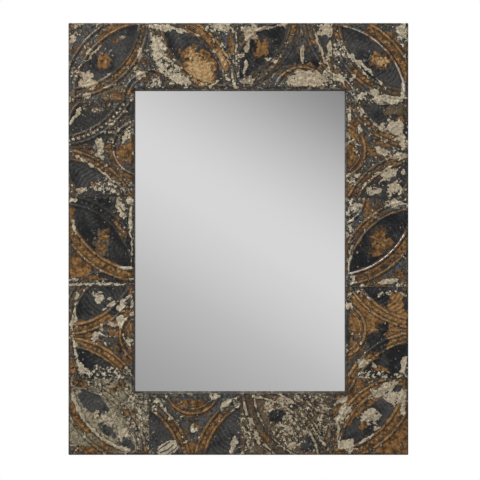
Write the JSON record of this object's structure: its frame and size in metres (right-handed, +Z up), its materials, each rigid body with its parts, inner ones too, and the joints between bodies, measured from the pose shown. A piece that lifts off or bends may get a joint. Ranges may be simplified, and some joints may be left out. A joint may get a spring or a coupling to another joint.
{
  "type": "wall mirror with a tin-faced frame",
  "caption": "Upright rectangular wall mirror in a flat pine frame faced with patchwork pieces of old pressed tin ceiling plate, with a hardboard back and two strap hangers.",
  "frame": {"origin": "the point of the wall plane behind the middle of the frame; the wall plane holds the bumpers' rear faces", "axes": "+Z up along the frame's height, +Y from the room into the wall, +X to the viewer's right; the mirror looks towards -Y"},
  "size_m": [0.6294, 0.0284, 0.7994],
  "materials": {
    "tin_plate": "old worn paint and rust over dark pressed steel",
    "pine": "bare planed pine, a little dulled",
    "beech": "plain turned",
    "mirror": "polished silvered glass",
    "hardboard": "smooth pressed fibre board",
    "screw_steel": "zinc plated, dull",
    "hanger_steel": "nickel plated, dull",
    "nail_steel": "dull steel",
    "bumper_rubber": "matt"
  },
  "bodies": {
    "frame": {"tin_top_left_corner": "tin_plate", "tin_top_left": "tin_plate", "tin_top_right": "tin_plate", "tin_top_right_corner": "tin_plate", "tin_left_upper": "tin_plate", "tin_left_middle": "tin_plate", "tin_left_lower": "tin_plate", "tin_right_upper": "tin_plate", "tin_right_middle": "tin_plate", "tin_right_lower": "tin_plate", "tin_bottom_left_corner": "tin_plate", "tin_bottom_left": "tin_plate", "tin_bottom_right": "tin_plate", "tin_bottom_right_corner": "tin_plate", "left_stile": "pine", "right_stile": "pine", "top_rail": "pine", "bottom_rail": "pine", "dowels_top_left": "beech", "dowels_top_right": "beech", "dowels_bottom_left": "beech", "dowels_bottom_right": "beech", "bumper_top_left": "bumper_rubber", "bumper_top_right": "bumper_rubber", "bumper_bottom_left": "bumper_rubber", "bumper_bottom_right": "bumper_rubber", "mirror_glass": "mirror", "backing_board": "hardboard", "back_screws": "screw_steel", "left_hanger_screws": "screw_steel", "right_hanger_screws": "screw_steel", "left_hanger_strap": "hanger_steel", "right_hanger_strap": "hanger_steel", "face_nails": "nail_steel", "edge_nails": "nail_steel"},
    "left_ring": {"left_hanger_ring": "hanger_steel"},
    "right_ring": {"right_hanger_ring": "hanger_steel"}
  },
  "joints": [
    {"name": "left_ring_swing", "type": "hinge", "parent": "frame", "child": "left_ring", "pos_m": [-0.242, -0.00365, 0.167], "axis": [0, 0, 1], "range_deg": [0, 160]},
    {"name": "right_ring_swing", "type": "hinge", "parent": "frame", "child": "right_ring", "pos_m": [0.242, -0.00365, 0.167], "axis": [0, 0, -1], "range_deg": [0, 160]}
  ]
}
